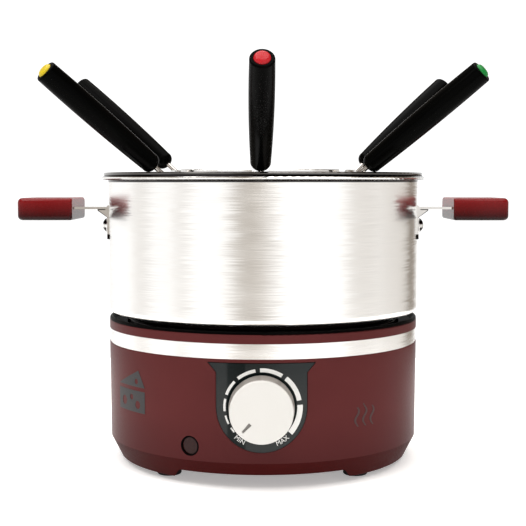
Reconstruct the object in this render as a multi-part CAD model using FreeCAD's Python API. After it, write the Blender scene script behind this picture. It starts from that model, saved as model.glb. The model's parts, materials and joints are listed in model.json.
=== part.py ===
"""Electric fondue set: a thermostat base, a lift-off steel pot, a fork ring and six forks.

Millimetres, +Z up, origin at the centre of the footprint on the surface that the feet stand on.
The control knob faces -Y, and the two pot grips lie along X.
"""
import FreeCAD, Part
import math
import os

from FreeCAD import Matrix, Placement, Rotation, Vector

# ---- driving dimensions: pot ----
pot_radius = 100.5            # outside of the pot wall, a 20 cm pot
pot_wall = 0.8
pot_bottom_z = 95.8           # underside of the pressed bowl
pot_rim_z = 183.3             # top of the rolled rim
pot_rim_radius = 104.6
pot_rim_height = 2.7
pot_disc_radius = 84.0        # heat-spreading disc under the bowl

# ---- driving dimensions: base ----
shell_radius = 100.2          # at the top; the wall tapers down to shell_low_radius
shell_low_radius = 99.6
shell_wall = 2.5
skirt_bottom_z = 3.0
skirt_bottom_radius = 93.0
skirt_top_z = 16.1
pan_floor_z = 9.6             # underside of the bottom pan's floor
pan_floor_thickness = 2.2
band_bottom_z = 77.2
band_top_z = 86.1
band_radius = 99.7
neck_radius = 98.8            # shell neck behind the steel band
collar_radius = 100.2
collar_top_z = 91.6
surround_top_z = 93.4
plate_top_z = 91.5
plate_bottom_z = 86.0
plate_radius = 87.0
shield_z = 66.0

# ---- driving dimensions: control panel, knob and lamp ----
knob_z = 49.2
knob_back_y = -101.2
knob_front_y = -115.5
knob_back_radius = 19.2
knob_front_radius = 18.3
knob_cap_thickness = 1.6
pointer_angle = 226.5         # degrees anticlockwise from +X, as seen from the front
panel_proud = 0.3             # how far the panel stands out from the shell
panel_back_radius = 98.2
panel_half_width = 26.4
panel_ear_half_width = 31.0
panel_ear_z = 69.5
panel_top_z = 74.9
panel_gap = 0.35
spindle_radius = 3.0
lamp_azimuth = 244.8          # degrees anticlockwise from +X, seen from above
lamp_z = 24.6
lamp_radius = 6.0
lamp_face = 99.6              # distance of the bezel's face from the centre line

# ---- driving dimensions: grips and their brackets ----
grip_inner_x = 121.1
grip_outer_x = 156.3
grip_half_width = 28.5
grip_height = 14.2
grip_z = 162.2
strap_z = 162.1               # underside of the strap
strap_thickness = 1.5
strap_half_width = 21.0
strap_outer_x = 136.0
bracket_plate = 1.2
bracket_bottom_z = 142.9
bracket_top_z = 164.5
rivet_z = 151.6
rivet_azimuth = 4.6           # degrees each side of the bracket's middle
rivet_head_radius = 4.8
rivet_head_height = 2.8
rivet_shank_radius = 2.0
grip_screw_x = (125.4, 132.8)
grip_screw_radius = 1.6

# ---- driving dimensions: fork ring and forks ----
ring_top_z = 185.5
ring_radius = 103.5
ring_sheet = 1.5
ring_lip_radius = 59.0
ring_lip_height = 1.8
notch_width = 10.0
notch_reach = 75.0
fork_count = 6
fork_elevation = 37.7         # degrees above level
# One value for each fork, from the front one round towards +X. Neighbouring forks' offsets add up
# to enough for no two to meet.
fork_axis_heights = (130.0, 130.0, 132.2, 132.2, 132.2, 130.0)    # where a fork passes the pot's axis
fork_axis_offsets = (2.5, 6.5, 7.2, 2.5, 6.5, 6.5)                # sideways distance from that axis
fork_tip_heights = (97.8, 97.8, 100.6, 100.6, 100.6, 97.8)
fork_turns = (0, 0, 0, 1.8, 0, 0)                                 # degrees away from even spacing
handle_middle_radius = 113.0
fork_shaft_length = 149.0     # tip to the handle's lower end
handle_length = 91.5
tang_length = 50.0

X_AXIS = Vector(1, 0, 0)
Y_AXIS = Vector(0, 1, 0)
Z_AXIS = Vector(0, 0, 1)


# ---- geometry helpers ----
def rounded_wire(corners, place):
    """Closed wire through corners (a, b) or (a, b, radius); place turns (a, b) into a 3-D point."""
    points = [FreeCAD.Base.Vector2d(c[0], c[1]) for c in corners]
    radii = [c[2] if len(c) > 2 else 0.0 for c in corners]
    starts, ends, arcs = [], [], []
    count = len(points)
    for i, corner in enumerate(points):
        if not radii[i]:
            starts.append(corner)
            ends.append(corner)
            arcs.append(None)
            continue
        back = points[i - 1] - corner
        ahead = points[(i + 1) % count] - corner
        back = back * (1.0 / back.length())
        ahead = ahead * (1.0 / ahead.length())
        half = 0.5 * math.acos(max(-1.0, min(1.0, back.x * ahead.x + back.y * ahead.y)))
        reach = radii[i] / math.tan(half)
        inward = back + ahead
        inward = inward * (1.0 / inward.length())
        starts.append(corner + back * reach)
        ends.append(corner + ahead * reach)
        arcs.append(corner + inward * (radii[i] / math.sin(half) - radii[i]))
    edges = []
    for i in range(count):
        if arcs[i]:
            three = [place(p.x, p.y) for p in (starts[i], arcs[i], ends[i])]
            edges.append(Part.Arc(*three).toShape())
        a = place(ends[i].x, ends[i].y)
        b = place(starts[(i + 1) % count].x, starts[(i + 1) % count].y)
        if a.distanceToPoint(b) > 1e-6:
            edges.append(Part.LineSegment(a, b).toShape())
    return Part.Wire(edges)


def turned(corners):
    """Solid of revolution about Z from corners (radius, z)."""
    face = Part.Face(rounded_wire(corners, lambda r, z: Vector(r, 0, z)))
    return face.revolve(Vector(), Z_AXIS, 360)


def turned_about_y(corners, z):
    """Solid of revolution about a line along Y at height z, from corners (radius, y)."""
    face = Part.Face(rounded_wire(corners, lambda r, y: Vector(r, y, z)))
    return face.revolve(Vector(0, 0, z), Y_AXIS, 360)


def tube_wall(inner, outer, low, high):
    return turned([(inner, low), (outer, low), (outer, high), (inner, high)])


def rod(start, direction, radius, length):
    return Part.makeCylinder(radius, length, start, direction)


def box(low, high):
    size = [b - a for a, b in zip(low, high)]
    return Part.makeBox(*size, Vector(*low))


def at_azimuth(radius, azimuth, z=0.0):
    angle = math.radians(azimuth)
    return Vector(radius * math.cos(angle), radius * math.sin(angle), z)


def turned_to(shape, azimuth):
    """Copy of a shape built along +X, turned about Z to an azimuth."""
    copy = shape.copy()
    copy.rotate(Vector(), Z_AXIS, azimuth)
    return copy


def bent_tube(points, radius, bend):
    """Tube along straight runs joined by tangent arcs of one bend radius."""
    points = [Vector(*p) for p in points]
    edges = []
    here = points[0]
    for before, corner, after in zip(points, points[1:], points[2:]):
        back = (before - corner).normalize()
        ahead = (after - corner).normalize()
        half = 0.5 * back.getAngle(ahead)
        reach = bend / math.tan(half)
        start = corner + back * reach
        end = corner + ahead * reach
        inward = (back + ahead).normalize()
        middle = corner + inward * (bend / math.sin(half) - bend)
        edges.append(Part.LineSegment(here, start).toShape())
        edges.append(Part.Arc(start, middle, end).toShape())
        here = end
    edges.append(Part.LineSegment(here, points[-1]).toShape())
    path = Part.Wire(edges)
    section = Part.Wire(Part.makeCircle(radius, points[0], points[1] - points[0]))
    return path.makePipeShell([section], True, True)


def group(solids):
    return Part.makeCompound(solids)


def save(node, shape):
    solids = shape.Solids
    assert solids and all(s.isValid() and s.Volume > 0 for s in solids), node
    shape = solids[0] if len(solids) == 1 else Part.makeCompound(solids)
    shape.exportStep("parts/" + node + ".step")


# ---- base: housing ----
shell_post_azimuths = (60, 180, 300)
shell_post_radius = 82.0
shell_post_top_z = 34.0
pan_top_z = pan_floor_z + pan_floor_thickness
arch_top_z = 8.5
arch_half_width = 49.4        # half width of the flat top of an arch between two feet
foot_azimuths = (45, 135, 225, 315)
foot_centre_radius = 81.0
foot_boss_bottom_z = 3.4
foot_stem_radius = 4.0
foot_stem_top_z = 8.0
stud_azimuths = (90, 210, 330)
stud_centre_radius = 68.0
gland_z = 30.0
gland_radius = 6.0
cord_hole_radius = 3.5
shell_inner_radius = shell_radius - shell_wall
shell_low_inner_radius = shell_low_radius - shell_wall


def shell_zone(inner, proud):
    """Ring from a radius inside the shell's wall out to its tapered face plus a distance."""
    return turned([
        (inner, skirt_top_z), (shell_low_radius + proud, skirt_top_z),
        (shell_radius + proud, band_bottom_z), (inner, band_bottom_z),
    ])


def panel_prism(grow):
    """Shield-shaped prism along Y: flared top corners, straight sides and a round bottom."""
    half = panel_half_width + grow
    ear = panel_ear_half_width + 2.4 * grow
    near_y = -shell_radius - 10
    right = [(half, knob_z), (half, panel_ear_z - 0.4 * grow), (ear, panel_top_z + grow)]
    outline = right + [(-a, b) for a, b in reversed(right)]
    corners = [Vector(a, near_y, b) for a, b in outline]
    edges = [Part.LineSegment(a, b).toShape() for a, b in zip(corners, corners[1:])]
    lowest = Vector(0, near_y, knob_z - half)
    edges.append(Part.Arc(corners[-1], lowest, corners[0]).toShape())
    return Part.Face(Part.Wire(edges)).extrude(Vector(0, -near_y - 60, 0))


def lamp_rod(radius, start, length):
    """Rod along the lamp's axis, starting at a distance from the centre line."""
    direction = at_azimuth(1, lamp_azimuth)
    return rod(at_azimuth(start, lamp_azimuth, lamp_z), direction, radius, length)


def base_shell():
    neck_inner = neck_radius - 2.4
    shell = turned([
        (shell_low_inner_radius, skirt_top_z), (shell_low_radius, skirt_top_z),
        (shell_radius, band_bottom_z, 0.8), (neck_radius, band_bottom_z),
        (neck_radius, band_top_z), (neck_inner, band_top_z), (neck_inner, band_bottom_z - 3),
        (shell_inner_radius, band_bottom_z - 5),
    ])
    for azimuth in shell_post_azimuths:
        foot = Vector(shell_post_radius, 0, pan_top_z)
        post = rod(foot, Z_AXIS, 4.0, shell_post_top_z - pan_top_z)
        rib = box((shell_post_radius, -1.2, 21), (shell_low_inner_radius + 0.5, 1.2, shell_post_top_z))
        pilot = rod(foot, Z_AXIS, 1.5, 14)
        shell = shell.fuse(turned_to(post.fuse(rib).cut(pilot), azimuth))
    shell = shell.cut(panel_prism(panel_gap).common(shell_zone(panel_back_radius, 5)))
    shell = shell.cut(rod(Vector(0, -110, knob_z), Y_AXIS, 6.5, 30))
    shell = shell.cut(lamp_rod(lamp_radius, 85, 20))
    return shell.cut(rod(Vector(0, 85, gland_z), Y_AXIS, gland_radius, 20))


def arch_cutter(side):
    """Trapezium prism that lifts the skirt's lower edge between two feet; side is -1 or +1 in Y."""
    slope = 4.5
    outline = [(-1, skirt_bottom_z - 2), (1, skirt_bottom_z - 2), (1, arch_top_z), (-1, arch_top_z)]
    points = [Vector(s * (arch_half_width + (slope if z < arch_top_z else 0)), 0, z)
              for s, z in outline]
    prism = Part.Face(Part.makePolygon(points + points[:1])).extrude(Vector(0, side * 120, 0))
    return prism.cut(rod(Vector(0, 0, -5), Z_AXIS, 70, 40))


def bottom_pan():
    pan = turned([
        (0, pan_floor_z), (87.6, pan_floor_z), (89.2, skirt_bottom_z, 0.5),
        (skirt_bottom_radius, skirt_bottom_z, 1.4), (shell_low_radius, skirt_top_z),
        (97.0, skirt_top_z), (97.0, 18.4), (95.0, 18.4), (95.0, 15), (93.2, pan_top_z), (0, pan_top_z),
    ])
    for side in (-1, 1):
        pan = pan.cut(arch_cutter(side))
    for azimuth in foot_azimuths:
        low = at_azimuth(foot_centre_radius, azimuth, foot_boss_bottom_z)
        pan = pan.fuse(rod(low, Z_AXIS, 8.6, pan_floor_z - foot_boss_bottom_z))
        pan = pan.cut(rod(low, Z_AXIS, foot_stem_radius, foot_stem_top_z - foot_boss_bottom_z))
    for azimuth in stud_azimuths:
        pan = pan.cut(rod(at_azimuth(stud_centre_radius, azimuth), Z_AXIS, 2.1, 30))
    for azimuth in shell_post_azimuths:
        pan = pan.cut(rod(at_azimuth(shell_post_radius, azimuth), Z_AXIS, 1.5, 30))
    return pan


def rubber_feet():
    foot = turned([
        (0, 0), (7.5, 0, 1.2), (7.5, foot_boss_bottom_z), (foot_stem_radius, foot_boss_bottom_z),
        (foot_stem_radius, foot_stem_top_z), (0, foot_stem_top_z),
    ])
    foot.translate(Vector(foot_centre_radius, 0, 0))
    return group([turned_to(foot, azimuth) for azimuth in foot_azimuths])


def pan_screw(shank_radius, reach):
    """Pan-head screw driven up through the floor pan, with a cross recess in its head."""
    head_height = 2.2
    head = turned([
        (0, pan_floor_z - head_height), (3.6, pan_floor_z - head_height, 1.0), (3.6, pan_floor_z),
        (shank_radius, pan_floor_z), (shank_radius, pan_floor_z + reach), (0, pan_floor_z + reach),
    ])
    low = pan_floor_z - head_height - 1
    for half in ((2.2, 0.45), (0.45, 2.2)):
        slot = box((-half[0], -half[1], low), (half[0], half[1], low + 2.2))
        head = head.cut(slot)
    return head


def base_screws():
    screws = []
    for azimuths, radius, shank in ((stud_azimuths, stud_centre_radius, 2.1),
                                    (shell_post_azimuths, shell_post_radius, 1.5)):
        for azimuth in azimuths:
            screw = pan_screw(shank, 10.0)
            screw.translate(at_azimuth(radius, azimuth))
            screws.append(screw)
    return group(screws)


def steel_band():
    return turned([
        (neck_radius, band_bottom_z), (band_radius, band_bottom_z), (band_radius, band_top_z),
        (neck_radius, band_top_z),
    ])


collar_step_radius = 97.0
collar_step_z = 87.4


def top_collar():
    lip_outer = neck_radius - 2.5
    lip_inner = lip_outer - 1.9
    return turned([
        (collar_radius, band_top_z), (collar_radius, collar_top_z, 0.8), (collar_step_radius, collar_top_z),
        (collar_step_radius, collar_step_z), (lip_inner, collar_step_z), (lip_inner, band_top_z - 6),
        (lip_outer, band_top_z - 6), (lip_outer, band_top_z),
    ])


def heater_surround():
    """Rolled black edge on the collar, falling to a trough round the heating plate."""
    outer, trough_z = collar_radius - 0.1, 90.0
    return turned([
        (outer, collar_top_z), (outer, surround_top_z, 1.5), (97.9, surround_top_z, 0.7),
        (96.4, trough_z + 0.5, 0.8), (88.8, trough_z - 0.4), (88.8, 83), (90.8, 83),
        (90.8, 88.0), (95.4, 88.6), (collar_step_radius - 0.1, collar_top_z),
    ])


def cord_gland():
    seat_radius = shell_low_radius + 0.25
    wall = tube_wall(seat_radius, seat_radius + 20, gland_z - 20, gland_z + 20)
    flange = rod(Vector(0, 90, gland_z), Y_AXIS, 9.0, 12.5).common(wall)
    flange = flange.makeFillet(1.0, [e for e in flange.Edges if e.BoundBox.YMin > 102])
    gland = flange.fuse(rod(Vector(0, 86, gland_z), Y_AXIS, gland_radius, 14))
    inner_wall = rod(Vector(0, 0, gland_z - 20), Z_AXIS, shell_low_inner_radius, 40)
    collar = rod(Vector(0, 88, gland_z), Y_AXIS, 9.0, 9).common(inner_wall)
    return gland.fuse(collar).cut(rod(Vector(0, 80, gland_z), Y_AXIS, cord_hole_radius, 30))


# ---- base: control panel and lamp ----
def control_panel():
    panel = panel_prism(0).common(shell_zone(panel_back_radius, panel_proud))
    return panel.cut(rod(Vector(0, -110, knob_z), Y_AXIS, 5.0, 30))


def lamp_bezel():
    bezel = lamp_rod(lamp_radius, 88, lamp_face - 88)
    return bezel.cut(lamp_rod(lamp_radius - 0.9, 80, 30))


def indicator_lens():
    lens_radius = lamp_radius - 0.9
    length = lamp_face - 0.9 - 88
    lens = lamp_rod(lens_radius, 88, length)
    dome_radius = 22.0
    bulge = Part.makeSphere(dome_radius, at_azimuth(88 + length - dome_radius + 0.55, lamp_azimuth, lamp_z))
    cap = lamp_rod(lens_radius, 88, length + 2).common(bulge)
    return lens.common(cap)


def neon_lamp():
    bulb = lamp_rod(2.6, 78, 7).fuse(Part.makeSphere(2.6, at_azimuth(85, lamp_azimuth, lamp_z)))
    return bulb.fuse(lamp_rod(3.6, 72, 6))


# ---- base: heating and thermostat ----
element_radius = 58.0
element_tube_radius = 3.6
element_gap = 20.0            # degrees each side of the front, where the cold pins turn down
element_z = plate_bottom_z - element_tube_radius
bulb_radius = 3.0
bracket_y = -89.4             # rear face of the thermostat's bracket plate
spindle_bush_radius = spindle_radius + 0.05


def heating_plate():
    return turned([
        (0, plate_top_z), (plate_radius, plate_top_z, 0.8), (plate_radius, 88.5),
        (84, plate_bottom_z), (0, plate_bottom_z),
    ])


def heating_element():
    sweep = 360 - 2 * element_gap
    ring = Part.makeTorus(element_radius, element_tube_radius, Vector(), Z_AXIS, 0, 360, sweep)
    ring.rotate(Vector(), Z_AXIS, -90 + element_gap)
    ring.translate(Vector(0, 0, element_z))
    for side in (-1, 1):
        end = at_azimuth(element_radius, -90 + side * element_gap, element_z)
        elbow = Part.makeSphere(element_tube_radius, end)
        pin = rod(end - Vector(0, 0, 13), Z_AXIS, element_tube_radius, 13)
        ring = ring.fuse(elbow).fuse(pin)
    return ring


def heat_shield():
    shield = turned([
        (0, shield_z), (78, shield_z, 3), (85, 73, 3), (85, 80), (84, 80), (84, 73.4, 2),
        (77.6, shield_z + 1, 2), (0, shield_z + 1),
    ])
    for azimuth in stud_azimuths:
        low = at_azimuth(stud_centre_radius, azimuth, shield_z - 2)
        shield = shield.cut(rod(low, Z_AXIS, 3.0, 5))
    for side in (-1, 1):
        pin = at_azimuth(element_radius, -90 + side * element_gap, shield_z - 2)
        shield = shield.cut(rod(pin, Z_AXIS, 5.2, 5))
    return shield.cut(rod(Vector(8, -73, shield_z - 2), Z_AXIS, 2.0, 5))


def plate_studs():
    stud = rod(Vector(stud_centre_radius, 0, pan_top_z), Z_AXIS, 3.0, plate_bottom_z - pan_top_z)
    flange = rod(Vector(stud_centre_radius, 0, shield_z - 2), Z_AXIS, 4.6, 2)
    stud = stud.fuse(flange)
    stud = stud.cut(rod(Vector(stud_centre_radius, 0, pan_top_z), Z_AXIS, 2.1, 7.8))
    return group([turned_to(stud, azimuth) for azimuth in stud_azimuths])


def thermostat_body():
    drum = rod(Vector(0, bracket_y, knob_z), Y_AXIS, 15.0, 13)
    block = box((-13, bracket_y + 13, knob_z - 12), (13, bracket_y + 20, knob_z + 12))
    body = drum.fuse(block)
    return body.cut(rod(Vector(0, bracket_y, knob_z), Y_AXIS, spindle_bush_radius, 9))


def thermostat_bracket():
    plate = box((-15, bracket_y - 1.2, pan_top_z + 1.2), (15, bracket_y, knob_z + 17))
    foot = box((-15, bracket_y - 1.2, pan_top_z), (15, bracket_y + 14, pan_top_z + 1.2))
    bracket = plate.fuse(foot)
    return bracket.cut(rod(Vector(0, -100, knob_z), Y_AXIS, 5.0, 20))


def temperature_sensor():
    """Capillary from the thermostat up to a bulb clipped under the heating plate."""
    low = (8, bracket_y + 16.5, knob_z + 12)
    turn = (8, bracket_y + 16.5, plate_bottom_z - bulb_radius)
    end = (8, -54, plate_bottom_z - bulb_radius)
    tube = bent_tube([low, turn, end], 1.0, 5.0)
    return tube.fuse(rod(Vector(*end), Y_AXIS, bulb_radius, 34))


def thermal_fuse():
    z = shield_z - 2.6
    case = rod(Vector(-22, 18, z), X_AXIS, 2.6, 14)
    leads = rod(Vector(-28, 18, z), X_AXIS, 0.6, 26)
    return case.fuse(leads)


def terminal_block():
    block = box((-16, 40, pan_top_z), (16, 53, pan_top_z + 12))
    for x in (-10, 0, 10):
        block = block.cut(rod(Vector(x, 46.5, pan_top_z + 5), Z_AXIS, 2.2, 10))
        block = block.cut(rod(Vector(x, 53.5, pan_top_z + 5), -Y_AXIS, 1.6, 7))
    return block


def internal_leads():
    block_y = 40.0
    lead_z = pan_top_z + 6
    back_y = bracket_y + 20
    pin = at_azimuth(element_radius, -90 + element_gap, element_z - 13)
    routes = [
        [(-10, block_y, lead_z), (-10, -30, lead_z), (-10, -48, knob_z - 6),
         (-10, back_y, knob_z - 6)],
        [(10, block_y, lead_z), (10, -10, lead_z), (pin.x, -40, lead_z + 6), (pin.x, pin.y, 30),
         (pin.x, pin.y, pin.z)],
        [(-10, back_y, knob_z + 6), (-10, back_y + 9, knob_z + 6), (-pin.x, pin.y, knob_z + 10),
         (-pin.x, pin.y, pin.z)],
    ]
    bends = (10.0, 7.0, 2.0)
    return group([bent_tube(route, 1.3, bend) for route, bend in zip(routes, bends)])


# ---- knob ----
def knob_body():
    cap_back_y = knob_front_y + knob_cap_thickness
    back_inner = knob_back_radius - 2.0
    body = turned_about_y([
        (spindle_radius, cap_back_y), (knob_front_radius + 0.08, cap_back_y),
        (knob_back_radius, knob_back_y, 0.6), (back_inner, knob_back_y),
        (back_inner - 0.5, cap_back_y + 2.2), (6.5, cap_back_y + 2.2), (6.5, knob_back_y - 1),
        (spindle_radius, knob_back_y - 1),
    ], knob_z)
    return body


def knob_cap():
    cap = turned_about_y([
        (0, knob_front_y), (knob_front_radius, knob_front_y, 0.9),
        (knob_front_radius + 0.08, knob_front_y + knob_cap_thickness),
        (0, knob_front_y + knob_cap_thickness),
    ], knob_z)
    inner, outer = 9.1, 15.6
    wide, narrow = 1.1, 0.6
    depth = 0.7
    outline = [(inner, wide), (outer, narrow), (outer, -narrow), (inner, -wide)]
    points = [Vector(a, knob_front_y - 1, b) for a, b in outline]
    pointer = Part.Face(Part.makePolygon(points + points[:1])).extrude(Vector(0, 1 + depth, 0))
    pointer.rotate(Vector(), Y_AXIS, -pointer_angle)
    pointer.translate(Vector(0, 0, knob_z))
    return cap.cut(pointer)


def knob_spindle():
    start = Vector(0, knob_front_y + knob_cap_thickness, knob_z)
    return rod(start, Y_AXIS, spindle_radius, bracket_y + 8 - start.y)


# ---- pot ----
def pot_bowl():
    inside = pot_radius - pot_wall
    bead_low_z = pot_rim_z - pot_rim_height
    bowl = turned([
        (0, pot_bottom_z), (pot_radius, pot_bottom_z, 4.0), (pot_radius, bead_low_z),
        (pot_rim_radius, bead_low_z, 1.3), (pot_rim_radius, pot_rim_z, 1.3), (inside, pot_rim_z, 0.6),
        (inside, pot_bottom_z + pot_wall, 3.0), (0, pot_bottom_z + pot_wall),
    ])
    for azimuth in rivet_azimuths():
        bowl = bowl.cut(rivet_rod(rivet_shank_radius, 90, 20, azimuth))
    return bowl


def pot_base_disc():
    return turned([
        (0, plate_top_z), (pot_disc_radius, plate_top_z, 1.0), (pot_disc_radius, pot_bottom_z),
        (0, pot_bottom_z),
    ])


def rivet_azimuths():
    return [side + s * rivet_azimuth for side in (0, 180) for s in (-1, 1)]


def rivet_rod(radius, start, length, azimuth):
    low = at_azimuth(start, azimuth, rivet_z)
    return rod(low, at_azimuth(1, azimuth), radius, length)


def bracket(azimuth):
    """Pressed-steel bracket: a plate curved to the pot, a flat strap and two side gussets."""
    plate_outer = pot_radius + bracket_plate
    wall = tube_wall(pot_radius, plate_outer, bracket_bottom_z, bracket_top_z)
    reach = strap_half_width
    plate = wall.common(box((50, -reach, 100), (150, reach, 200)))
    strap = box((pot_radius - 5, -reach, strap_z), (strap_outer_x, reach, strap_z + strap_thickness))
    shape = plate.fuse(strap)
    gusset_x, gusset_low_z = 105.6, 157.0
    plate_edge_x = math.sqrt(plate_outer ** 2 - reach ** 2)
    corners = [Vector(plate_edge_x - 4, 0, gusset_low_z), Vector(plate_edge_x - 4, 0, strap_z),
               Vector(gusset_x, 0, strap_z), Vector(gusset_x, 0, strap_z - 0.9),
               Vector(plate_edge_x + 0.2, 0, gusset_low_z)]
    gusset = Part.Face(Part.makePolygon(corners + corners[:1])).extrude(Vector(0, 1.0, 0))
    for y in (-reach, reach - 1.0):
        side = gusset.copy()
        side.translate(Vector(0, y, 0))
        shape = shape.fuse(side)
    shape = shape.cut(rod(Vector(0, 0, 100), Z_AXIS, pot_radius, 100))
    for side in (-1, 1):
        shape = shape.cut(rivet_rod(rivet_shank_radius, 90, 20, side * rivet_azimuth))
    for x in grip_screw_x:
        shape = shape.cut(rod(Vector(x, 0, strap_z - 5), Z_AXIS, grip_screw_radius, 10))
    return turned_to(shape.removeSplitter(), azimuth)


def bracket_rivets():
    """Dome-headed rivets, each with a shank through the wall and a flat head inside the pot."""
    outer = pot_radius + bracket_plate
    inner = pot_radius - pot_wall
    high = rivet_head_height
    dome_radius = (rivet_head_radius ** 2 + high ** 2) / (2 * high)
    rivets = []
    for azimuth in rivet_azimuths():
        dome = Part.makeSphere(dome_radius, at_azimuth(outer + high - dome_radius, azimuth, rivet_z))
        dome = dome.common(rivet_rod(rivet_head_radius, outer - 2, 20, azimuth))
        dome = dome.cut(rod(Vector(0, 0, 100), Z_AXIS, outer, 100))
        shank = rivet_rod(rivet_shank_radius, inner - 0.5, outer + 1 - inner, azimuth)
        head = rivet_rod(3.6, inner - 0.9, 3, azimuth).common(
            rod(Vector(0, 0, 100), Z_AXIS, inner, 100))
        rivets.append(dome.fuse(shank).fuse(head))
    return group(rivets)


def grip(azimuth):
    """Block grip with softly bowed sides, rounded all round, least at its flat inner face."""
    side_bow, bow_radius, corner_radius, rim_radius = 1.6, 100.0, 5.0, 3.0
    inner_rim_radius = 1.5
    low = grip_z - grip_height / 2
    inner, outer, half = grip_inner_x, grip_outer_x, grip_half_width
    middle = (inner + outer) / 2
    near = half - side_bow
    start = inner - 6
    start_y = near - 6 * side_bow / (middle - inner)
    outline = rounded_wire([
        (start, start_y), (start, -start_y), (middle, -half, bow_radius),
        (outer, -near, corner_radius), (outer, near, corner_radius), (middle, half, bow_radius),
    ], lambda x, y: Vector(x, y, low))
    block = Part.Face(outline).extrude(Vector(0, 0, grip_height))
    rims = [e for e in block.Edges if e.BoundBox.ZLength < 0.01 and e.BoundBox.XMax > start + 0.01]
    block = block.makeFillet(rim_radius, rims)
    block = block.common(box((inner, -half - 1, low - 1), (outer + 1, half + 1, low + 20)))
    block = block.makeFillet(inner_rim_radius, [e for e in block.Edges if e.BoundBox.XMax < inner + 0.01])
    slot = box((inner - 1, -strap_half_width - 1, strap_z),
               (strap_outer_x + 0.5, strap_half_width + 1, strap_z + strap_thickness))
    block = block.cut(slot)
    for x in grip_screw_x:
        block = block.cut(rod(Vector(x, 0, low - 1), Z_AXIS, 3.0, 3.2))
        block = block.cut(rod(Vector(x, 0, low), Z_AXIS, grip_screw_radius, 11))
    return turned_to(block, azimuth)


def grip_screws():
    low = grip_z - grip_height / 2
    screw = turned([(0, low + 0.4), (2.9, low + 0.4, 0.6), (2.9, low + 2.2),
                    (grip_screw_radius, low + 2.2), (grip_screw_radius, low + 10.5), (0, low + 10.5)])
    screw = screw.cut(box((-2.0, -0.4, low), (2.0, 0.4, low + 1.3)))
    screws = []
    for azimuth in (0, 180):
        for x in grip_screw_x:
            one = screw.copy()
            one.translate(Vector(x, 0, 0))
            screws.append(turned_to(one, azimuth))
    return group(screws)


# ---- fork ring and forks ----
fork_azimuths = [-90 + 360.0 * k / fork_count for k in range(fork_count)]
fork_slope = math.radians(fork_elevation)


def fork_heading(index):
    """Azimuth in which a fork leaves the pot's axis, so that its handle still crosses its own notch."""
    yaw = math.degrees(math.asin(fork_axis_offsets[index] / handle_middle_radius))
    return fork_azimuths[index] + fork_turns[index] + yaw


def fork_placement(index):
    """Placement that takes a fork built tip down along +Z to its place in the ring."""
    heading = math.radians(fork_heading(index))
    outward = Vector(math.cos(heading), math.sin(heading), 0)
    sideways = Vector(math.sin(heading), -math.cos(heading), 0)
    along = outward * math.cos(fork_slope) + Z_AXIS * math.sin(fork_slope)
    normal = along.cross(sideways)
    foot = sideways * fork_axis_offsets[index] + Z_AXIS * fork_axis_heights[index]
    rise = fork_axis_heights[index] - fork_tip_heights[index]
    tip = foot - along * (rise / math.sin(fork_slope))
    turn = Matrix(sideways.x, normal.x, along.x, 0, sideways.y, normal.y, along.y, 0,
                  sideways.z, normal.z, along.z, 0, 0, 0, 0, 1)
    return Placement(tip, Rotation(turn))


def placed(shape, index):
    copy = shape.copy()
    copy.Placement = fork_placement(index).multiply(shape.Placement)
    return copy


def fork_ring():
    """Flat ring with a turned-down locating lip, an inner raised lip and a notch for each fork."""
    under_z = ring_top_z - ring_sheet
    lip_outer = ring_lip_radius + ring_sheet
    ring = turned([
        (ring_radius, pot_rim_z, 0.6), (ring_radius, ring_top_z, 0.9), (lip_outer + 0.01, ring_top_z),
        (lip_outer, ring_top_z + ring_lip_height, 0.5),
        (ring_lip_radius, ring_top_z + ring_lip_height, 0.5), (ring_lip_radius, under_z),
        (96.9, under_z), (96.9, 179.5), (98.4, 179.5), (98.4, pot_rim_z),
    ])
    half = notch_width / 2
    for index, across in enumerate(fork_axis_offsets):
        slot = box((40, -across - half, 175), (notch_reach - half, -across + half, 195))
        end = rod(Vector(notch_reach - half, -across, 175), Z_AXIS, half, 20)
        ring = ring.cut(turned_to(slot.fuse(end), fork_heading(index)))
    return ring


def fork_prongs():
    """Two-tine head cut from flat stock on a slim shaft that thickens towards the handle."""
    thin, thick = 1.1, 1.5
    tine_outer, tine_inner, barb_inner = 3.2, 1.8, 1.3
    head_thickness = 1.2
    shoulder_z, neck_z, crotch_z = 31.0, 40.0, 28.0
    half = [
        (thin, neck_z), (tine_outer, shoulder_z), (tine_outer, 5.0), (2.4, 0.0),
        (barb_inner, 6.5), (tine_inner, 7.0), (tine_inner, crotch_z - 1.8),
    ]
    right = [Vector(a, -head_thickness / 2, b) for a, b in half]
    left = [Vector(-p.x, p.y, p.z) for p in right]
    edges = [Part.LineSegment(a, b).toShape() for a, b in zip(right, right[1:])]
    crotch = Vector(0, -head_thickness / 2, crotch_z)
    edges.append(Part.Arc(right[-1], crotch, left[-1]).toShape())
    edges += [Part.LineSegment(a, b).toShape() for a, b in zip(left[::-1], left[-2::-1])]
    edges.append(Part.LineSegment(left[0], right[0]).toShape())
    head = Part.Face(Part.Wire(edges)).extrude(Vector(0, head_thickness, 0))
    top = fork_shaft_length + tang_length
    shaft = turned([
        (0, neck_z - 6), (0.5, neck_z - 6), (thin, neck_z - 2), (thin, 95), (thick, 115),
        (thick, top), (0, top),
    ])
    return head.fuse(shaft)


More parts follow.
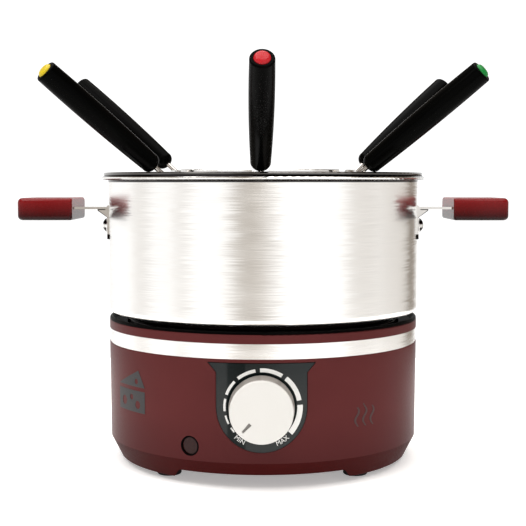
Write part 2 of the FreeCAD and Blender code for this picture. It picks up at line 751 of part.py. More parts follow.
def fork_handle():
    """Round handle, slimmer and rounded at its lower end, with a shallow cup for the cap."""
    low = fork_shaft_length
    high = low + handle_length
    low_radius, middle_radius, high_radius = 6.15, 7.3, 7.0
    cup_radius, cup_floor = 4.9, high - 2.4
    shaft_radius = 1.5

    def point(radius, z):
        return Vector(radius, 0, z)

    edges = [
        Part.LineSegment(point(shaft_radius, low), point(2.6, low)).toShape(),
        Part.Arc(point(2.6, low), point(5.15, low + 1.5), point(low_radius, low + 5)).toShape(),
        Part.Arc(point(low_radius, low + 5), point(middle_radius, low + 50),
                 point(high_radius, high - 1.2)).toShape(),
        Part.Arc(point(high_radius, high - 1.2), point(6.65, high - 0.35), point(5.8, high)).toShape(),
        Part.LineSegment(point(5.8, high), point(cup_radius, high)).toShape(),
        Part.LineSegment(point(cup_radius, high), point(cup_radius, cup_floor)).toShape(),
        Part.LineSegment(point(cup_radius, cup_floor), point(0, cup_floor)).toShape(),
        Part.LineSegment(point(0, cup_floor), point(0, low + tang_length)).toShape(),
        Part.LineSegment(point(0, low + tang_length), point(shaft_radius, low + tang_length)).toShape(),
        Part.LineSegment(point(shaft_radius, low + tang_length), point(shaft_radius, low)).toShape(),
    ]
    return Part.Face(Part.Wire(edges)).revolve(Vector(), Z_AXIS, 360)


def fork_cap():
    high = fork_shaft_length + handle_length
    floor, radius = high - 2.4, 4.75
    return turned([(0, floor), (radius, floor), (radius, high + 1.6, 2.4), (0, high + 1.9)])


def main():
    os.makedirs("parts", exist_ok=True)
    makers = [
        base_shell, bottom_pan, rubber_feet, base_screws, steel_band, top_collar, heater_surround,
        cord_gland, control_panel, lamp_bezel, indicator_lens, neon_lamp, heating_plate,
        heating_element, heat_shield, plate_studs, thermostat_body, thermostat_bracket,
        temperature_sensor, thermal_fuse, terminal_block, internal_leads, knob_body, knob_cap,
        knob_spindle, pot_bowl, pot_base_disc, bracket_rivets, grip_screws, fork_ring,
    ]
    for maker in makers:
        save(maker.__name__, maker())
    for side, azimuth in (("right", 0), ("left", 180)):
        save("bracket_" + side, bracket(azimuth))
        save("grip_" + side, grip(azimuth))
    prongs, handle, cap = fork_prongs(), fork_handle(), fork_cap()
    for index in range(fork_count):
        for piece, shape in (("prongs", prongs), ("handle", handle), ("cap", cap)):
            save("fork_%d_%s" % (index + 1, piece), placed(shape, index))


main()
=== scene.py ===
"""Electric fondue set: looks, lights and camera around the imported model."""
import json
import math

import bmesh
import bpy
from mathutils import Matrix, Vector


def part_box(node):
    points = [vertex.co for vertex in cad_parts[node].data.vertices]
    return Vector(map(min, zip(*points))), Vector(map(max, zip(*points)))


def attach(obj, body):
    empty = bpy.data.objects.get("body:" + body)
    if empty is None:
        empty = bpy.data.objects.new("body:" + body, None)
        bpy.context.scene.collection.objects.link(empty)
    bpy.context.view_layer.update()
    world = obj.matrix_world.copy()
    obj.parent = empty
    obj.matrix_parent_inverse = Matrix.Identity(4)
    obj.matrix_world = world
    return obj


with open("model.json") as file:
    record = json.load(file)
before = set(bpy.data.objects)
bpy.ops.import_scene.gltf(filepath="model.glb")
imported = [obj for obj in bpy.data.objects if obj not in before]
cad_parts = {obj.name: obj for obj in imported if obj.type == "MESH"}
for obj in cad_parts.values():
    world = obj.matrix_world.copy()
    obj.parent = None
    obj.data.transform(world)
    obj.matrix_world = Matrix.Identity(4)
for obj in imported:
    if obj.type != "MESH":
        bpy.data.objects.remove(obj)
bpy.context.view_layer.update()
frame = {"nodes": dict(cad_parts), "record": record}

MM = 0.001

# ---- places read from the frame ----
_, pan_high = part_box("bottom_pan")
band_low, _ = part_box("steel_band")
knob_low, knob_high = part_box("knob_cap")
_, pot_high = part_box("pot_bowl")
_, ring_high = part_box("fork_ring")
grip_low, grip_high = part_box("grip_right")
_, collar_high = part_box("top_collar")
bracket_low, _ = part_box("bracket_right")
_, plate_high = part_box("heating_plate")
knob_z = 0.5 * (knob_low.z + knob_high.z)

# The shell is a slight cone between the skirt and the steel band.
SHELL_LOW_Z = 16.1 * MM
SHELL_LOW_RADIUS = pan_high.x
SHELL_TOP_Z = band_low.z
SHELL_TOP_RADIUS = collar_high.x

# ---- places that the boxes don't give ----
PANEL_PROUD = 0.3 * MM            # the control panel stands out from the shell by this
POT_RADIUS = 100.5 * MM           # outside of the pot's wall
BEAD_HEIGHT = 2.7 * MM            # rolled bead round the pot's rim
BRACKET_FACE = 101.7 * MM         # outer face of the brackets' plates, from the pot's axis
RIVET_Z = 151.6 * MM
STRAP_Z = 162.1 * MM              # underside of the brackets' straps
GUSSET_LOW_Z = 156.6 * MM         # the painted dark outline on a gusset's free edge starts here
GUSSET_FAR = 105.6 * MM           # the gussets' reach from the pot's middle
GUSSET_SLOPE = 1.29               # outward travel of a gusset's free edge for its rise

# ---- camera ----
CAMERA_DISTANCE = 778.7 * MM      # from the pot's axis
CAMERA_UNDER_RING = 7.47 * MM     # below the top of the fork ring's lip
CAMERA_TURN = 0.45                # degrees round the pot, from straight in front towards +X
CAMERA_PITCH = 3.934              # degrees down
CAMERA_LENS = 81.16               # mm
CAMERA_SENSOR = 36.0              # mm wide


def make_camera():
    data = bpy.data.cameras.new("camera")
    data.sensor_width = CAMERA_SENSOR
    data.lens = CAMERA_LENS
    data.clip_start = 0.01
    data.clip_end = 50.0
    camera = bpy.data.objects.new("camera", data)
    turn = math.radians(CAMERA_TURN)
    height = ring_high.z - CAMERA_UNDER_RING
    camera.location = (CAMERA_DISTANCE * math.sin(turn), -CAMERA_DISTANCE * math.cos(turn), height)
    camera.rotation_euler = (math.radians(90 - CAMERA_PITCH), 0, turn)
    bpy.context.collection.objects.link(camera)
    bpy.context.scene.camera = camera


# ---- node helpers ----
MIX_COLOUR_INPUTS = (6, 7)        # the Mix node keeps its colours behind its numbers and vectors
MIX_COLOUR_OUTPUT = 2


def opaque(colour):
    """Three numbers with full alpha; a socket stays as it is."""
    return colour if isinstance(colour, bpy.types.NodeSocket) else (*colour, 1.0)


class Graph:
    """Short ways to add and link nodes in one node tree."""

    def __init__(self, tree):
        self.nodes = tree.nodes
        self.links = tree.links

    def feed(self, socket, value):
        """Links an output into a socket, or sets the socket to a plain value."""
        if isinstance(value, bpy.types.NodeSocket):
            self.links.new(value, socket)
        else:
            socket.default_value = value

    def spread(self, value, low, high, start=0.3, end=0.7):
        """Maps start..end of a value to low..high, and holds it there outside."""
        node = self.nodes.new("ShaderNodeMapRange")
        node.inputs["From Min"].default_value = start
        node.inputs["From Max"].default_value = end
        node.inputs["To Min"].default_value = low
        node.inputs["To Max"].default_value = high
        self.links.new(value, node.inputs["Value"])
        return node.outputs["Result"]

    def window(self, value, low, high, blur):
        """1 between low and high, 0 outside; each side crosses over within blur of its place."""
        up = self.spread(value, 0.0, 1.0, low - blur, low + blur)
        down = self.spread(value, 1.0, 0.0, high - blur, high + blur)
        return self.math("MULTIPLY", up, down)

    def mix(self, share, first, second):
        """Colour from first to second as share goes from 0 to 1."""
        node = self.nodes.new("ShaderNodeMix")
        node.data_type = "RGBA"
        self.links.new(share, node.inputs["Factor"])
        for index, colour in zip(MIX_COLOUR_INPUTS, (first, second)):
            self.feed(node.inputs[index], opaque(colour))
        return node.outputs[MIX_COLOUR_OUTPUT]

    def math(self, operation, *values):
        node = self.nodes.new("ShaderNodeMath")
        node.operation = operation
        for socket, value in zip(node.inputs, values):
            self.feed(socket, value)
        return node.outputs[0]

    def vector_math(self, operation, *values, scale=None):
        node = self.nodes.new("ShaderNodeVectorMath")
        node.operation = operation
        for socket, value in zip(node.inputs, values):
            self.feed(socket, value)
        if scale is not None:
            self.feed(node.inputs["Scale"], scale)
        return node.outputs["Vector"]

    def split(self, vector):
        """A vector's x, y and z."""
        node = self.nodes.new("ShaderNodeSeparateXYZ")
        self.links.new(vector, node.inputs["Vector"])
        return node.outputs

    def distance(self, across, along):
        squares = self.math("ADD", self.math("MULTIPLY", across, across),
                            self.math("MULTIPLY", along, along))
        return self.math("SQRT", squares)


class Surface(Graph):
    """A node material built round one Principled shader."""

    def __init__(self, name, colour, roughness, metallic=0.0, **constants):
        self.material = bpy.data.materials.new(name)
        self.material.use_nodes = True
        super().__init__(self.material.node_tree)
        self.shader = self.nodes["Principled BSDF"]
        self.shader.inputs["Base Color"].default_value = opaque(colour)
        self.shader.inputs["Roughness"].default_value = roughness
        self.shader.inputs["Metallic"].default_value = metallic
        for socket, value in constants.items():
            self.shader.inputs[socket.replace("_", " ")].default_value = value
        self.place = self.nodes.new("ShaderNodeTexCoord").outputs["Object"]
        self.tone = None              # the drifting colour, where mottled() has made one
        self.normal = None            # the last node that tips the surface's direction

    def noise(self, scale, detail=3.0, stretch=(1, 1, 1), rough=0.5):
        mapping = self.nodes.new("ShaderNodeMapping")
        mapping.inputs["Scale"].default_value = stretch
        self.links.new(self.place, mapping.inputs["Vector"])
        noise = self.nodes.new("ShaderNodeTexNoise")
        noise.inputs["Scale"].default_value = scale
        noise.inputs["Detail"].default_value = detail
        noise.inputs["Roughness"].default_value = rough
        self.links.new(mapping.outputs["Vector"], noise.inputs["Vector"])
        return noise.outputs["Fac"]

    def axes(self):
        """Object-space x, y and z."""
        return self.split(self.place)

    def radius(self):
        """Distance from the upright centre line."""
        x, y, _ = self.axes()
        return self.distance(x, y)

    def colour(self, socket):
        self.links.new(socket, self.shader.inputs["Base Color"])

    def roughness(self, socket):
        self.links.new(socket, self.shader.inputs["Roughness"])

    def face_along(self, normal):
        self.normal = normal
        self.links.new(normal, self.shader.inputs["Normal"])

    def sideways_grain(self, value, amount):
        """Tips the surface's direction left and right with a value, as fine brush lines do."""
        normal = self.nodes.new("ShaderNodeNewGeometry").outputs["Normal"]
        across = self.vector_math("CROSS_PRODUCT", (0, 0, 1), normal)
        sway = self.math("MULTIPLY", self.math("SUBTRACT", value, 0.5), amount)
        tipped = self.vector_math("ADD", normal, self.vector_math("SCALE", across, scale=sway))
        self.face_along(self.vector_math("NORMALIZE", tipped))

    def bump(self, value, strength, depth):
        node = self.nodes.new("ShaderNodeBump")
        node.inputs["Strength"].default_value = strength
        node.inputs["Distance"].default_value = depth
        self.links.new(value, node.inputs["Height"])
        if self.normal:
            self.links.new(self.normal, node.inputs["Normal"])
        self.face_along(node.outputs["Normal"])


DRIFT_SCALE = 18.0                # patches of a few centimetres
GLOSS_CHANGE = 0.12               # share by which the roughness goes up and down
GRAIN_DEPTH = 0.1 * MM


def mottled(name, colour, contrast, roughness, metallic=0.0, grain=300.0, bump=0.08, **constants):
    """Even surface with soft colour drift, fine grain and slightly uneven gloss."""
    surface = Surface(name, colour, roughness, metallic, **constants)
    drift = surface.noise(DRIFT_SCALE, detail=4.0)
    dark = [c * (1 - contrast) for c in colour]
    light = [min(1.0, c * (1 + contrast)) for c in colour]
    surface.tone = surface.mix(surface.spread(drift, 0, 1), dark, light)
    surface.colour(surface.tone)
    fine = surface.noise(grain)
    smoothest, roughest = roughness * (1 - GLOSS_CHANGE), roughness * (1 + GLOSS_CHANGE)
    surface.roughness(surface.spread(fine, smoothest, roughest))
    surface.bump(fine, bump, GRAIN_DEPTH)
    return surface


# ---- materials, one for each slot in the record ----
def shell_red():
    """Satin paint, painted darker towards the foot of the wall as shade."""
    shade_colour = (0.062, 0.0130, 0.0135)
    full_shade_z, no_shade_z = SHELL_LOW_Z - 6.0 * MM, SHELL_LOW_Z + 26.0 * MM
    surface = mottled("shell_red", (0.083, 0.0182, 0.0182), contrast=0.07, roughness=0.36,
                      grain=900.0, bump=0.04, IOR=1.13)
    _, _, height = surface.axes()
    # painted shade: darker at the foot of the wall, fading out about 26 mm above the shell's lower
    # edge
    share = surface.spread(height, 0.0, 1.0, full_shade_z, no_shade_z)
    surface.colour(surface.mix(share, shade_colour, surface.tone))
    return surface


def skirt_red():
    # Darker copy of shell_red: painted shade on the downward-facing skirt.
    return mottled("skirt_red", (0.041, 0.0030, 0.0028), contrast=0.07, roughness=0.5, grain=900.0,
                   bump=0.04, Specular_IOR_Level=0.04)


def black_plastic():
    return mottled("black_plastic", (0.0008, 0.0006, 0.0006), contrast=0.2, roughness=0.45,
                   grain=1500.0, bump=0.1, IOR=1.12, Specular_IOR_Level=0.2)


def panel_black():
    """Glossy panel; less gloss close round the knob is a painted shadow, and less in a stripe left
    of the middle is a painted dark reflection.
    """
    stripe_left, stripe_right, stripe_blur = -20.0 * MM, -9.5 * MM, 0.6 * MM
    gloss_full, gloss_stripe, knob_shadow_share = 0.34, 0.15, 0.1
    near_end, far_start = 19.8 * MM, 21.2 * MM
    surface = mottled("panel_black", (0.0010, 0.0040, 0.0040), contrast=0.12, roughness=0.16,
                      grain=2200.0, bump=0.03)
    across, _, height = surface.axes()
    from_knob = surface.distance(across, surface.math("SUBTRACT", height, knob_z))
    # painted dark reflection: a stripe left of the middle with less gloss
    dark_reflection_stripe = surface.window(across, stripe_left, stripe_right, stripe_blur)
    gloss = surface.spread(dark_reflection_stripe, gloss_full, gloss_stripe, 0.0, 1.0)
    # painted shadow: less gloss close round the knob
    share = surface.spread(from_knob, knob_shadow_share, 1.0, near_end, far_start)
    gloss = surface.math("MULTIPLY", gloss, share)
    surface.links.new(gloss, surface.shader.inputs["Specular IOR Level"])
    return surface


def brushed_steel():
    """Round-brushed wall; the rolled bead is smoother. Painted shade darkens the bead's top, where
    it meets the ring, and the crease under the bead.
    """
    steel, dark = (0.93, 0.915, 0.89), (0.010, 0.008, 0.008)
    line_shape, patch_shape = (30, 30, 1500), (12, 12, 160)     # finer up the wall than round it
    line_shade, line_sway = 0.96, 0.3
    wall_roughness = (0.19, 0.27)
    bead_gloss = 0.1                  # the bead's roughness is lower than the wall's by this
    surface = Surface("brushed_steel", steel, roughness=0.2, metallic=1.0)
    lines = surface.noise(1.0, detail=5.0, stretch=line_shape, rough=0.6)
    patches = surface.noise(1.0, stretch=patch_shape)
    shaded = [c * line_shade for c in steel]
    wall = surface.mix(surface.spread(lines, 0, 1, 0.35, 0.6), shaded, steel)
    _, _, height = surface.axes()
    bead_z = pot_high.z - BEAD_HEIGHT
    # painted shade: the crease under the bead and the bead's top under the ring
    crease_shade = surface.window(height, bead_z - 1.2 * MM, bead_z + 0.7 * MM, 0.3 * MM)
    crown_shade = surface.spread(height, 0.0, 1.0, pot_high.z - 1.0 * MM, pot_high.z - 0.6 * MM)
    surface.colour(surface.mix(surface.math("MAXIMUM", crease_shade, crown_shade), wall, dark))
    bead = surface.spread(surface.radius(), 0.0, 1.0, POT_RADIUS + 0.1 * MM, POT_RADIUS + 0.9 * MM)
    rough = surface.spread(patches, *wall_roughness)
    surface.roughness(surface.math("SUBTRACT", rough, surface.math("MULTIPLY", bead, bead_gloss)))
    surface.sideways_grain(lines, line_sway)
    surface.bump(lines, 0.05, 0.05 * MM)
    return surface


def polished_steel():
    """Bright pressed steel. Painted dark reflection on the ring's edge, painted dark glints on the
    rivets, and painted shade and dark reflection on the brackets.
    """
    steel, dark = (0.88, 0.87, 0.85), (0.012, 0.010, 0.009)
    rim_dark, rim_grey = (0.010, 0.009, 0.009), (0.13, 0.125, 0.12)
    surface = Surface("polished_steel", steel, roughness=0.12, metallic=1.0)
    drift = surface.noise(260.0, detail=4.0)
    shaded = [c * 0.93 for c in steel]
    face = surface.mix(surface.spread(drift, 0, 1), shaded, steel)
    _, _, height = surface.axes()
    radius = surface.radius()
    # painted dark reflection on the ring's outer edge, greyer in a band a little above the pot's
    # rim
    edge = surface.spread(radius, 0.0, 1.0, ring_high.x - 1.6 * MM, ring_high.x - 0.9 * MM)
    above = surface.spread(height, 0.0, 1.0, pot_high.z - 0.4 * MM, pot_high.z)
    upper = surface.window(height, pot_high.z + 0.7 * MM, pot_high.z + 1.9 * MM, 0.2 * MM)
    rim_reflection = surface.mix(upper, rim_dark, rim_grey)
    face = surface.mix(surface.math("MULTIPLY", edge, above), face, rim_reflection)
    # painted dark glints on the rivets, painted shade at the brackets' feet and a painted dark
    # outline on the gussets
    glints_and_shade = surface.math("MAXIMUM", rivet_glints_and_foot_shade(surface, height, radius),
                         gusset_outline_shade(surface, height))
    surface.colour(surface.mix(glints_and_shade, face, dark))
    surface.roughness(surface.spread(drift, 0.09, 0.16))
    surface.bump(drift, 0.05, 0.05 * MM)
    return surface


def rivet_glints_and_foot_shade(surface, height, radius):
    """Painted dark glints above and below the middle of each rivet's head, and painted shade at a
    bracket's lower end.
    """
    near, far, blur = 1.4 * MM, 5.0 * MM, 0.3 * MM
    upper = surface.window(height, RIVET_Z + near, RIVET_Z + far, blur)
    lower = surface.window(height, RIVET_Z - far, RIVET_Z - near, blur)
    proud = surface.spread(radius, 0.0, 1.0, BRACKET_FACE + 0.1 * MM, BRACKET_FACE + 0.4 * MM)
    heads = surface.math("MULTIPLY", surface.math("MAXIMUM", upper, lower), proud)
    foot = surface.window(height, bracket_low.z - 1.0 * MM, bracket_low.z + 3.2 * MM, blur)
    return surface.math("MAXIMUM", heads, foot)


def gusset_outline_shade(surface, height):
    """Painted shade and dark reflection as a thin outline of the brackets' gussets, under the strap
    and down the free edge.
    """
    across = surface.math("ABSOLUTE", surface.axes()[0])
    under = surface.window(height, STRAP_Z - 0.45 * MM, STRAP_Z + 0.1 * MM, 0.1 * MM)
    reach = surface.window(across, POT_RADIUS + 0.1 * MM, GUSSET_FAR, 0.2 * MM)
    under = surface.math("MULTIPLY", under, reach)
    fall = surface.math("SUBTRACT", across, surface.math("MULTIPLY", height, GUSSET_SLOPE))
    edge = GUSSET_FAR - GUSSET_SLOPE * (STRAP_Z - 0.9 * MM)
    slope = surface.spread(fall, 0.0, 1.0, edge - 0.95 * MM, edge - 0.65 * MM)
    slope = surface.math("MULTIPLY", slope, surface.window(height, GUSSET_LOW_Z, STRAP_Z, 0.1 * MM))
    return surface.math("MAXIMUM", under, slope)


def fork_steel():
    """Greyer than polished_steel, whose slot the forks' shafts and prongs share."""
    return mottled("fork_steel", (0.56, 0.53, 0.50), contrast=0.1, roughness=0.16, metallic=1.0,
                   grain=900.0, bump=0.04)


def aluminium():
    """Aluminium, painted darker towards the rims of its discs as shade in the dark gap between the
    pot and the base.
    """
    gap_shade = (0.012, 0.008, 0.008)
    start, full = plate_high.x - 14.0 * MM, plate_high.x - 8.0 * MM
    surface = mottled("aluminium", (0.62, 0.62, 0.63), contrast=0.08, roughness=0.42, metallic=1.0,
                      grain=700.0, bump=0.2)
    share = surface.spread(surface.radius(), 0.0, 1.0, start, full)
    surface.colour(surface.mix(share, surface.tone, gap_shade))
    return surface


def zinc_steel():
    return mottled("zinc_steel", (0.55, 0.55, 0.53), contrast=0.12, roughness=0.35, metallic=1.0,
                   grain=600.0, bump=0.1)


def brass():
    return mottled("brass", (0.72, 0.48, 0.18), contrast=0.1, roughness=0.3, metallic=1.0,
                   grain=600.0)


def copper_wire():
    return mottled("copper_wire", (0.42, 0.12, 0.03), contrast=0.1, roughness=0.5, grain=900.0)


def knob_silver():
    return mottled("knob_silver", (0.33, 0.30, 0.275), contrast=0.06, roughness=0.38, metallic=0.3,
                   grain=1500.0, bump=0.05)


def knob_cream():
    return mottled("knob_cream", (0.62, 0.61, 0.585), contrast=0.02, roughness=0.4, grain=1500.0,
                   bump=0.03, Specular_IOR_Level=0.3)


def lamp_smoke():
    return mottled("lamp_smoke", (0.026, 0.007, 0.006), contrast=0.25, roughness=0.12, grain=500.0,
                   bump=0.03, IOR=1.25)


def lamp_glass():
    return mottled("lamp_glass", (0.9, 0.55, 0.4), contrast=0.05, roughness=0.1, grain=300.0,
                   bump=0.02, Transmission_Weight=0.8)


def grip_red():
    """Glossy lacquer, painted darker towards the underside as shade."""
    shade_colour = (0.010, 0.0004, 0.0008)
    full_shade_z, no_shade_z = grip_low.z + 1.0 * MM, grip_high.z - 1.5 * MM
    surface = mottled("grip_red", (0.175, 0.0050, 0.0060), contrast=0.02, roughness=0.26,
                      grain=1800.0, bump=0.01, IOR=1.3, Specular_IOR_Level=0.35)
    _, _, height = surface.axes()
    # painted shade: darker from the grip's top down to its underside
    share = surface.spread(height, 0.0, 1.0, full_shade_z, no_shade_z)
    surface.colour(surface.mix(share, shade_colour, surface.tone))
    return surface


def handle_black():
    return mottled("handle_black", (0.0008, 0.0008, 0.0007), contrast=0.25, roughness=0.26,
                   grain=1200.0, bump=0.02, IOR=1.2, Specular_IOR_Level=0.10)


def rubber():
    return mottled("rubber", (0.008, 0.008, 0.008), contrast=0.2, roughness=0.75, grain=1200.0,
                   bump=0.2, Specular_IOR_Level=0.2)


def ceramic():
    return mottled("ceramic", (0.80, 0.78, 0.72), contrast=0.04, roughness=0.3, grain=500.0)


def cap_plastic(name, colour):
    return mottled(name, colour, contrast=0.06, roughness=0.26, grain=600.0, bump=0.03,
                   Specular_IOR_Level=0.2)


MAKERS = (
    shell_red, skirt_red, black_plastic, panel_black, brushed_steel, polished_steel, aluminium,
    zinc_steel, brass, copper_wire, knob_silver, knob_cream, lamp_smoke, lamp_glass, grip_red,
    handle_black, rubber, ceramic,
)
CAP_COLOURS = {
    "cap_red": (0.44, 0.012, 0.018),
    "cap_green": (0.006, 0.20, 0.035),
    "cap_yellow": (0.63, 0.47, 0.016),
    "cap_blue": (0.015, 0.10, 0.50),
    "cap_orange": (0.85, 0.22, 0.015),
    "cap_white": (0.82, 0.82, 0.79),
}


def paint_frame():
    finishes = {make.__name__: make().material for make in MAKERS}
    for name, colour in CAP_COLOURS.items():
        finishes[name] = cap_plastic(name, colour).material
    shafts = fork_steel().material
    for part in frame["record"]["subparts"]:
        mesh = frame["nodes"][part["node"]].data
        mesh.materials.clear()
        finish = shafts if part["node"].endswith("_prongs") else finishes[part["material_slot"]]
        mesh.materials.append(finish)


# ---- prints on the shell and the control panel ----
PRINT_THICKNESS = 0.12 * MM
PRINT_STEP = 1.2 * MM             # widest piece of a print that stays flat on the curved wall
WELD_DISTANCE = 1e-7


def print_ink(name, colour, contrast, roughness):
    return mottled(name, colour, contrast, roughness, grain=2500.0, bump=0.05).material


def shell_radius_at(z):
    share = (z - SHELL_LOW_Z) / (SHELL_TOP_Z - SHELL_LOW_Z)
    return SHELL_LOW_RADIUS + (SHELL_TOP_RADIUS - SHELL_LOW_RADIUS) * share


def on_panel(x, z, lift):
    radius = shell_radius_at(z) + PANEL_PROUD + lift
    return Vector((x, -math.sqrt(radius * radius - x * x), z))


def on_shell(x, z, lift):
    """x is measured round the wall from the front."""
    radius = shell_radius_at(z)
    angle = x / radius
    return Vector((math.sin(angle) * (radius + lift), -math.cos(angle) * (radius + lift), z))


def finish_mesh(bm, name, material, body):
    """Object from a closed mesh, riding on a body of the frame."""
    bmesh.ops.recalc_face_normals(bm, faces=bm.faces)
    mesh = bpy.data.meshes.new(name)
    bm.to_mesh(mesh)
    bm.free()
    mesh.materials.append(material)
    piece = bpy.data.objects.new(name, mesh)
    bpy.context.collection.objects.link(piece)
    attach(piece, body)


def flat_mesh(curve):
    """Flat mesh of a filled curve or a word."""
    piece = bpy.data.objects.new("flat", curve)
    mesh = bpy.data.meshes.new_from_object(piece)
    bpy.data.objects.remove(piece)
    bm = bmesh.new()
    bm.from_mesh(mesh)
    bpy.data.meshes.remove(mesh)
    bmesh.ops.remove_doubles(bm, verts=bm.verts, dist=WELD_DISTANCE)
    return bm


def flat_outlines(outlines):
    """Flat mesh from closed outlines of (x, y); an outline inside another is a hole."""
    curve = bpy.data.curves.new("outline", "CURVE")
    curve.dimensions = "2D"
    curve.fill_mode = "BOTH"
    for outline in outlines:
        spline = curve.splines.new("POLY")
        spline.points.add(len(outline) - 1)
        for point, (x, y) in zip(spline.points, outline):
            point.co = (x, y, 0, 1)
        spline.use_cyclic_u = True
    return flat_mesh(curve)


def flat_text(word, size):
    curve = bpy.data.curves.new("word", "FONT")
    curve.body = word
    curve.size = size
    curve.align_x = "CENTER"
    curve.resolution_u = 4
    return flat_mesh(curve)


def printed(bm, name, place, material):
    """Thin closed print from a flat mesh; place takes (x, y, lift) to a point on the wall."""
    widest = max(abs(v.co.x) for v in bm.verts)
    for index in range(int(-widest / PRINT_STEP), int(widest / PRINT_STEP) + 1):
        bmesh.ops.bisect_plane(bm, geom=bm.verts[:] + bm.edges[:] + bm.faces[:],
                               plane_co=(index * PRINT_STEP, 0, 0), plane_no=(1, 0, 0))
    bmesh.ops.triangulate(bm, faces=bm.faces)
    grown = bmesh.ops.extrude_face_region(bm, geom=bm.faces[:], use_keep_orig=True)["geom"]
    raised = {v for v in grown if isinstance(v, bmesh.types.BMVert)}
    for vert in bm.verts:
        vert.co = place(vert.co.x, vert.co.y, PRINT_THICKNESS if vert in raised else 0.0)
    finish_mesh(bm, name, material, "base")


# Angles on the dial are in degrees, anticlockwise from +X as seen from the front.
MARK_COUNT = 8
MARK_START = 222.5
MARK_GAP = 6.9
MARK_LENGTH = 8.5
MARK_GROWTH = 5.3                 # each next mark is longer by this
MARK_RADIUS = 21.1 * MM           # inner edge of the first mark
MARK_CREEP = 0.06 * MM            # each next mark's inner edge is further in by this
MARK_WIDTHS = (0.9 * MM, 0.15 * MM, 0.026 * MM)       # times 1, the mark's index and its square
WORD_SIZE = 3.9 * MM
WORD_BASELINE = 24.2 * MM         # radius of the words' baseline round the dial's centre
WORD_MIDDLE = 0.35 * WORD_SIZE    # half the height of the capitals
WORD_SQUEEZE = 0.96
WORDS = {"MIN": 236.4, "MAX": 301.7}


def ring_point(radius, angle):
    return radius * math.cos(angle), radius * math.sin(angle)


def dial_marks(material):
    """Ring of arcs that grow longer and wider clockwise from the low end to the high end."""
    outlines = []
    angle = MARK_START
    for index in range(MARK_COUNT):
        length = MARK_LENGTH + MARK_GROWTH * index
        width = sum(share * index ** power for power, share in enumerate(MARK_WIDTHS))
        inner = MARK_RADIUS - MARK_CREEP * index
        steps = 4 + int(length / 2)
        turns = [math.radians(angle - length * step / steps) for step in range(steps + 1)]
        near = [ring_point(inner, turn) for turn in turns]
        far = [ring_point(inner + width, turn) for turn in turns]
        outlines.append(near + far[::-1])
        angle -= length + MARK_GAP

    def place(x, y, lift):
        return on_panel(x, knob_z + y, lift)

    printed(flat_outlines(outlines), "dial_marks", place, material)


def dial_word(word, middle, material):
    """Word bent along the dial's lower edge, its letters upright towards the dial's centre."""
    def place(x, y, lift):
        turn = math.radians(middle) + x * WORD_SQUEEZE / (WORD_BASELINE - WORD_MIDDLE)
        across, up = ring_point(WORD_BASELINE - y, turn)
        return on_panel(across, knob_z + up, lift)

    printed(flat_text(word, WORD_SIZE), "dial_word_" + word.lower(), place, material)


def shell_sign(name, outlines, middle_x, middle_z, size, material):
    """Print of outlines in millimetres, enlarged by size about a place on the shell."""
    outlines = [[(x * MM, y * MM) for x, y in outline] for outline in outlines]

    def place(x, y, lift):
        return on_shell(middle_x + size * x, middle_z + size * y, lift)

    printed(flat_outlines(outlines), name, place, material)


def circle(x, y, radius, count=20):
    turns = [2 * math.pi * k / count for k in range(count)]
    return [(x + radius * math.cos(a), y + radius * math.sin(a)) for a in turns]


def cheese_sign(material):
    """Wedge of cheese with round holes."""
    side = [(-11, -9), (11, -9), (11, 0.5), (-11, 0.5)]
    lid = [(-11, 2.2), (11, 2.2), (6.5, 9.5)]
    holes = [
        circle(-5.5, -4.8, 2.1), circle(1.0, -2.6, 1.3), circle(5.8, -5.6, 1.8),
        circle(4.9, 4.6, 1.2),
    ]
    shell_sign("cheese_sign", [side, lid] + holes, -94.0 * MM, 52.0 * MM, 1.4, material)


def steam_sign(material):
    """Three wisps of steam, the outer two a little shorter."""
    spacing, sway, bends_per_mm, steps = 4.6, 1.1, 0.75, 14
    low, high, shorter = -5.0, 5.5, 1.5
    half_width, thinning = 0.75, 0.07
    outlines = []
    for wisp in (-1, 0, 1):
        rise = high - abs(wisp) * shorter - low
        heights = [low + rise * k / steps for k in range(steps + 1)]
        line = [(wisp * spacing + sway * math.sin(bends_per_mm * y), y) for y in heights]
        left = [(x - half_width + thinning * abs(y), y) for x, y in line]
        right = [(x + half_width - thinning * abs(y), y) for x, y in line]
        outlines.append(left + right[::-1])
    shell_sign("steam_sign", outlines, 66.0 * MM, 41.0 * MM, 1.3, material)


# ---- pointer inlay in the knob's slot ----
POINTER_ANGLE = 226.5             # degrees anticlockwise from +X, seen from the front
POINTER_NEAR, POINTER_FAR = 9.2 * MM, 15.5 * MM       # its ends' distances from the knob's centre
POINTER_WIDE, POINTER_NARROW = 1.0 * MM, 0.5 * MM     # half its width at those ends
SLOT_DEPTH, INLAY_THICKNESS = 0.7 * MM, 0.2 * MM


def pointer_inlay(material):
    bm = bmesh.new()
    turn = math.radians(POINTER_ANGLE)
    along = Vector((math.cos(turn), 0, math.sin(turn)))
    across = Vector((-along.z, 0, along.x))
    floor_y = knob_low.y + SLOT_DEPTH
    outline = [(POINTER_NEAR, POINTER_WIDE), (POINTER_FAR, POINTER_NARROW),
               (POINTER_FAR, -POINTER_NARROW), (POINTER_NEAR, -POINTER_WIDE)]
    rows = []
    for y in (floor_y, floor_y - INLAY_THICKNESS):
        centre = Vector((0, y, knob_z))
        rows.append([bm.verts.new(centre + along * a + across * b) for a, b in outline])
    back, front = rows
    bm.faces.new(back)
    bm.faces.new(front[::-1])
    for k in range(len(outline)):
        after = (k + 1) % len(outline)
        bm.faces.new((back[k], back[after], front[after], front[k]))
    finish_mesh(bm, "pointer_inlay", material, "knob")


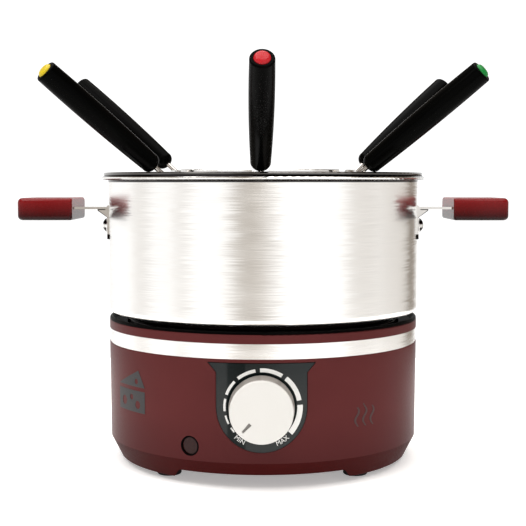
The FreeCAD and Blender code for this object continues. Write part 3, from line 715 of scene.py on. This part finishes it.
# ---- light and floor ----
# Level of the pale surround at each direction round the object, in degrees from the front
# towards +X.
SURROUND = [
    (-180, 1.08), (-163, 1.06), (-154, 0.90), (-142, 1.06), (-112, 1.06), (-104, 0.83), (-94, 0.83),
    (-86, 1.04), (-68, 1.04), (-64, 0.83), (-57, 0.83), (-51, 1.08), (-26, 1.10), (-17, 0.53),
    (-7, 0.46), (1, 0.60), (7, 0.78), (14, 1.10), (60, 1.10), (67, 0.76), (84, 0.76), (92, 0.84),
    (104, 0.75), (121, 0.74), (130, 0.60), (137, 0.20), (144, 0.20), (151, 0.44), (160, 1.04),
    (180, 1.08),
]
# Level at each height in degrees: white below and at eye level, a darker stretch, then a bright
# ceiling.
CEILING = [(-90, 1.0), (11, 1.0), (19, 0.30), (44, 0.30), (54, 3.0), (90, 3.2)]
WARMTH = (0.0, 0.12, 0.26)        # powers of a level below 1 that tint it towards red
WORLD_STRENGTH = 1.1
LIGHT_TARGET = Vector((0, 0, 0.12))
FLOOR_RADIUS = 0.45


def colour_ramp(graph, value, stops):
    """Ramp through (position, level) stops, tinted warm below full white."""
    ramp = graph.nodes.new("ShaderNodeValToRGB")
    elements = ramp.color_ramp.elements
    while len(elements) > 1:
        elements.remove(elements[-1])
    for index, (position, level) in enumerate(stops):
        element = elements[0] if index == 0 else elements.new(position)
        element.position = position
        element.color = opaque([level * min(level, 1.0) ** power for power in WARMTH])
    graph.links.new(value, ramp.inputs["Fac"])
    return ramp.outputs["Color"]


def make_world():
    """Pale studio: uneven all round, which brushed steel picks up as upright bands."""
    world = bpy.data.worlds.new("studio")
    bpy.context.scene.world = world
    world.use_nodes = True
    graph = Graph(world.node_tree)
    x, y, z = graph.split(graph.nodes.new("ShaderNodeTexCoord").outputs["Generated"])
    around = graph.math("ARCTAN2", x, graph.math("MULTIPLY", y, -1.0))
    turn = graph.spread(around, 0.0, 1.0, -math.pi, math.pi)
    turns = [((degrees + 180) / 360, level) for degrees, level in SURROUND]
    sides = colour_ramp(graph, turn, turns)
    rise = graph.spread(z, 0.0, 1.0, -1.0, 1.0)
    rises = [(0.5 + 0.5 * math.sin(math.radians(degrees)), level) for degrees, level in CEILING]
    heights = colour_ramp(graph, rise, rises)
    background = graph.nodes["Background"]
    graph.links.new(graph.vector_math("MULTIPLY", sides, heights), background.inputs["Color"])
    background.inputs["Strength"].default_value = WORLD_STRENGTH


def soft_light(name, place, size, power):
    """Rectangular light of (width, height) metres and so many watts, facing the object."""
    data = bpy.data.lights.new(name, "AREA")
    data.shape = "RECTANGLE"
    data.size, data.size_y = size
    data.energy = power
    light = bpy.data.objects.new(name, data)
    light.location = place
    light.rotation_euler = (LIGHT_TARGET - Vector(place)).to_track_quat("-Z", "Y").to_euler()
    bpy.context.collection.objects.link(light)


def make_floor():
    """Pale round floor that glows a little, so that it comes out as white as the surround."""
    bm = bmesh.new()
    bmesh.ops.create_circle(bm, cap_ends=True, segments=128, radius=FLOOR_RADIUS)
    mesh = bpy.data.meshes.new("floor")
    bm.to_mesh(mesh)
    bm.free()
    surface = mottled("floor", (0.95, 0.95, 0.945), contrast=0.005, roughness=0.7, grain=60.0,
                      bump=0.01, Emission_Color=(1.0, 1.0, 1.0, 1.0), Emission_Strength=0.35)
    mesh.materials.append(surface.material)
    floor = bpy.data.objects.new("floor", mesh)
    bpy.context.collection.objects.link(floor)


def main():
    make_camera()
    make_world()
    soft_light("light_front", (0.35, -1.6, 0.9), (1.2, 1.2), 4.0)
    soft_light("light_high", (-0.7, -0.5, 1.1), (0.3, 0.8), 3.0)
    make_floor()
    bpy.context.scene.view_settings.view_transform = "Standard"
    paint_frame()
    dial_print = print_ink("dial_print", (0.74, 0.74, 0.72), contrast=0.05, roughness=0.4)
    dial_marks(dial_print)
    for word, middle in WORDS.items():
        dial_word(word, middle, dial_print)
    cheese_sign(print_ink("dark_print", (0.012, 0.010, 0.011), contrast=0.1, roughness=0.6))
    steam_sign(print_ink("tonal_print", (0.030, 0.003, 0.003), contrast=0.1, roughness=0.55))
    # the inlay's dark grey is partly painted shade: it stands in for the shade along the engraved
    # slot's walls
    pointer_inlay(print_ink("inlay_grey", (0.16, 0.15, 0.14), contrast=0.05, roughness=0.5))


main()
